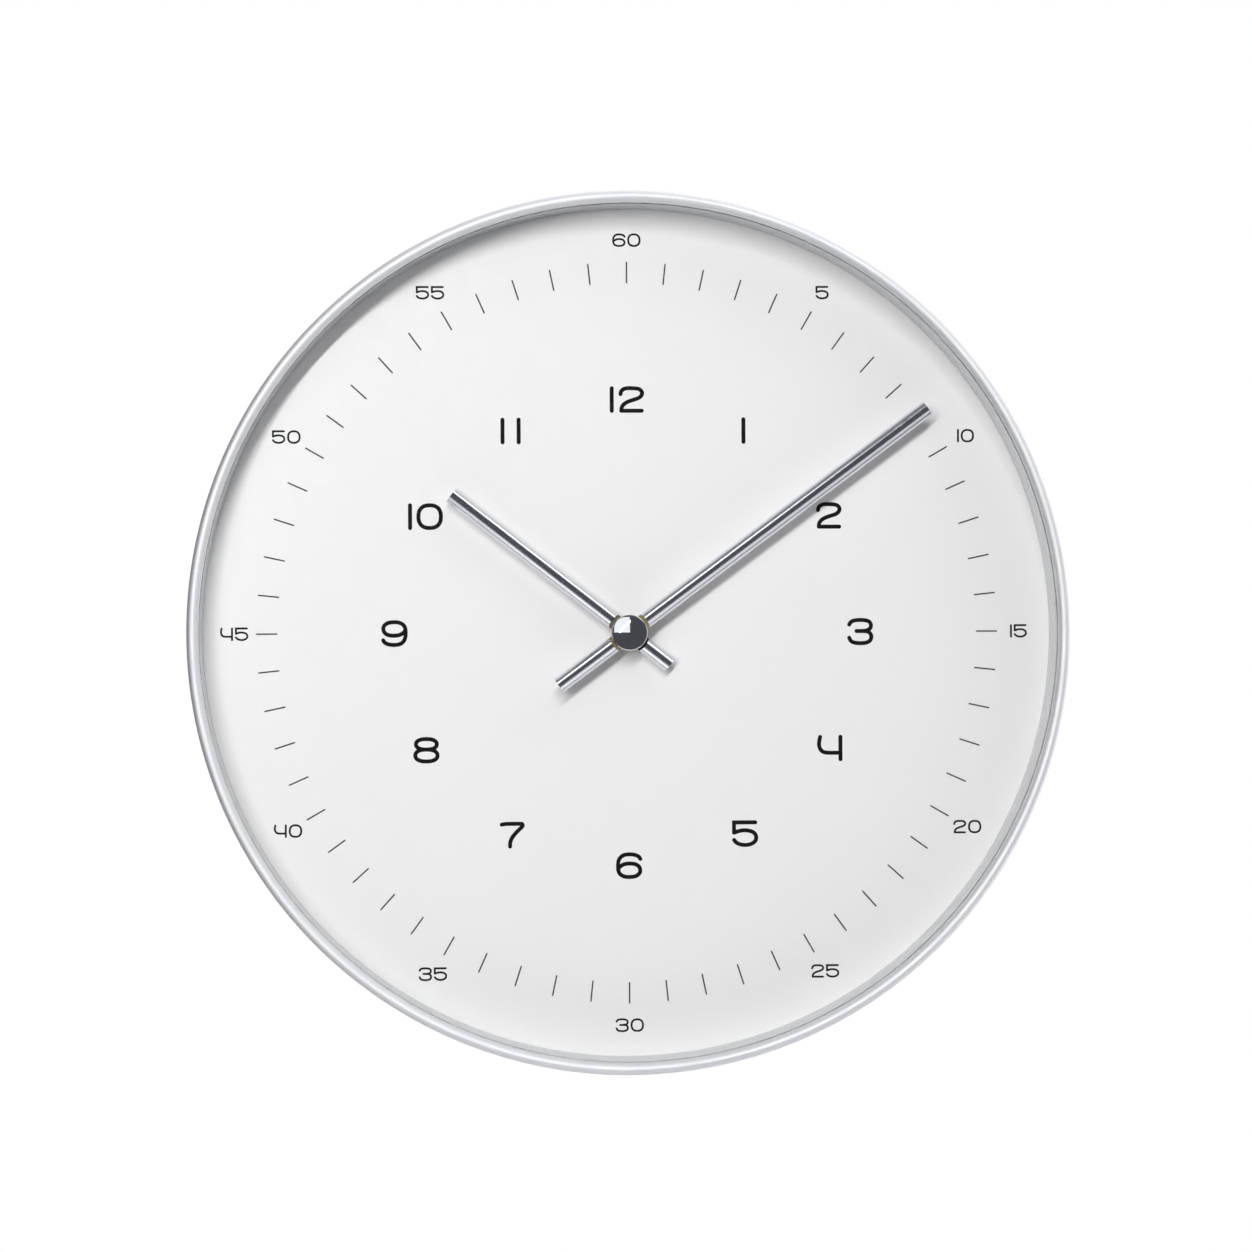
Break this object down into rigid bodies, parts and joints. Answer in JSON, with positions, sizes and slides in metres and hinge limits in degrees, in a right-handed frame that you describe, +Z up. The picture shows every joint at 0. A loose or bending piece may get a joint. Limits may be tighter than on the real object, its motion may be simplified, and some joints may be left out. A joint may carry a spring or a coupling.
{
  "type": "wall clock",
  "caption": "Round battery wall clock: rounded metal case, deep-set white dial, polished rod hands and a quartz movement.",
  "frame": {"origin": "on the hands' axis, on the wall plane that the clock hangs against", "axes": "+Z up to the dial's twelve, the dial faces -Y, +Y into the wall, +X to the dial's three"},
  "size_m": [0.3, 0.042, 0.3],
  "materials": {
    "case_metal": "satin",
    "glass": "clear",
    "seal": "matt",
    "rehaut": "satin silver",
    "dial": "satin white",
    "cover_plastic": "matt black",
    "screw_steel": "bright",
    "hanger_steel": "galvanised",
    "pad_rubber": "matt",
    "movement_plastic": "fine grained",
    "bridge_plastic": "matt",
    "brass": "satin",
    "stator_iron": "bright",
    "bobbin_plastic": "matt",
    "copper": "enamelled",
    "board": "solder mask",
    "chip": "epoxy",
    "contact": "nickel plate",
    "polished": "mirror polished",
    "wheel_plastic": "natural",
    "magnet": "sintered",
    "battery_label": "printed sleeve"
  },
  "bodies": {
    "case": {"case_ring": "case_metal", "glass": "glass", "glass_gasket": "seal", "rehaut_ring": "rehaut", "dial": "dial", "rear_cover": "cover_plastic", "dial_spacer": "cover_plastic", "cover_screws": "screw_steel", "hanger_plate": "hanger_steel", "hanger_rivets": "screw_steel", "wall_pads": "pad_rubber", "movement_back": "movement_plastic", "movement_front": "movement_plastic", "train_bridge": "bridge_plastic", "dial_gasket": "pad_rubber", "bushing_washer": "brass", "bushing_nut": "brass", "stator": "stator_iron", "coil_core": "stator_iron", "coil_bobbin": "bobbin_plastic", "coil_winding": "copper", "circuit_board": "board", "chip": "chip", "quartz_can": "contact", "contact_positive": "contact", "contact_negative": "contact"},
    "minute": {"minute_hand": "polished", "minute_hand_bush": "brass", "hand_cap": "polished", "minute_arbor": "brass"},
    "hour": {"hour_hand": "polished", "hour_hand_bush": "brass", "hour_wheel": "wheel_plastic"},
    "motion": {"motion_wheel": "wheel_plastic"},
    "knob": {"setting_knob": "wheel_plastic"},
    "second": {"second_wheel": "wheel_plastic"},
    "rotor": {"rotor_magnet": "magnet", "rotor_pinion": "wheel_plastic"},
    "intermediate": {"intermediate_wheel": "wheel_plastic"},
    "third": {"third_wheel": "wheel_plastic"},
    "centre": {"centre_wheel": "wheel_plastic"},
    "battery": {"battery_can": "battery_label", "battery_terminals": "contact"}
  },
  "joints": [
    {"name": "minute_spin", "type": "hinge", "parent": "case", "child": "minute", "pos_m": [0, -0.025, 0], "axis": [0, 1, 0], "continuous": true},
    {"name": "hour_spin", "type": "hinge", "parent": "case", "child": "hour", "pos_m": [0, -0.02, 0], "axis": [0, 1, 0], "continuous": true},
    {"name": "motion_spin", "type": "hinge", "parent": "case", "child": "motion", "pos_m": [0.01128, -0.014, 0.0041], "axis": [0, 1, 0], "continuous": true},
    {"name": "knob_spin", "type": "hinge", "parent": "case", "child": "knob", "pos_m": [0.01899, -0.008, -0.00509], "axis": [0, 1, 0], "continuous": true},
    {"name": "second_spin", "type": "hinge", "parent": "case", "child": "second", "pos_m": [0, -0.008, 0], "axis": [0, 1, 0], "continuous": true},
    {"name": "rotor_spin", "type": "hinge", "parent": "case", "child": "rotor", "pos_m": [0.01408, -0.006, 0.00753], "axis": [0, 1, 0], "continuous": true},
    {"name": "intermediate_spin", "type": "hinge", "parent": "case", "child": "intermediate", "pos_m": [0.00571, -0.005, 0.0068], "axis": [0, 1, 0], "continuous": true},
    {"name": "third_spin", "type": "hinge", "parent": "case", "child": "third", "pos_m": [-0.00779, -0.009, 0.0045], "axis": [0, 1, 0], "continuous": true},
    {"name": "centre_spin", "type": "hinge", "parent": "case", "child": "centre", "pos_m": [0, -0.011, 0], "axis": [0, 1, 0], "continuous": true},
    {"name": "battery_slide", "type": "slide", "parent": "case", "child": "battery", "axis": [0, 1, 0], "range_m": [0, 0.022]}
  ],
  "couplings": [
    {"joint": "hour_spin", "follows": "minute_spin", "ratio": 0.083333},
    {"joint": "motion_spin", "follows": "minute_spin", "ratio": -0.33333},
    {"joint": "knob_spin", "follows": "minute_spin", "ratio": 1},
    {"joint": "rotor_spin", "follows": "second_spin", "ratio": 30},
    {"joint": "intermediate_spin", "follows": "second_spin", "ratio": -5},
    {"joint": "third_spin", "follows": "second_spin", "ratio": -0.13333},
    {"joint": "centre_spin", "follows": "second_spin", "ratio": 0.016667}
  ]
}
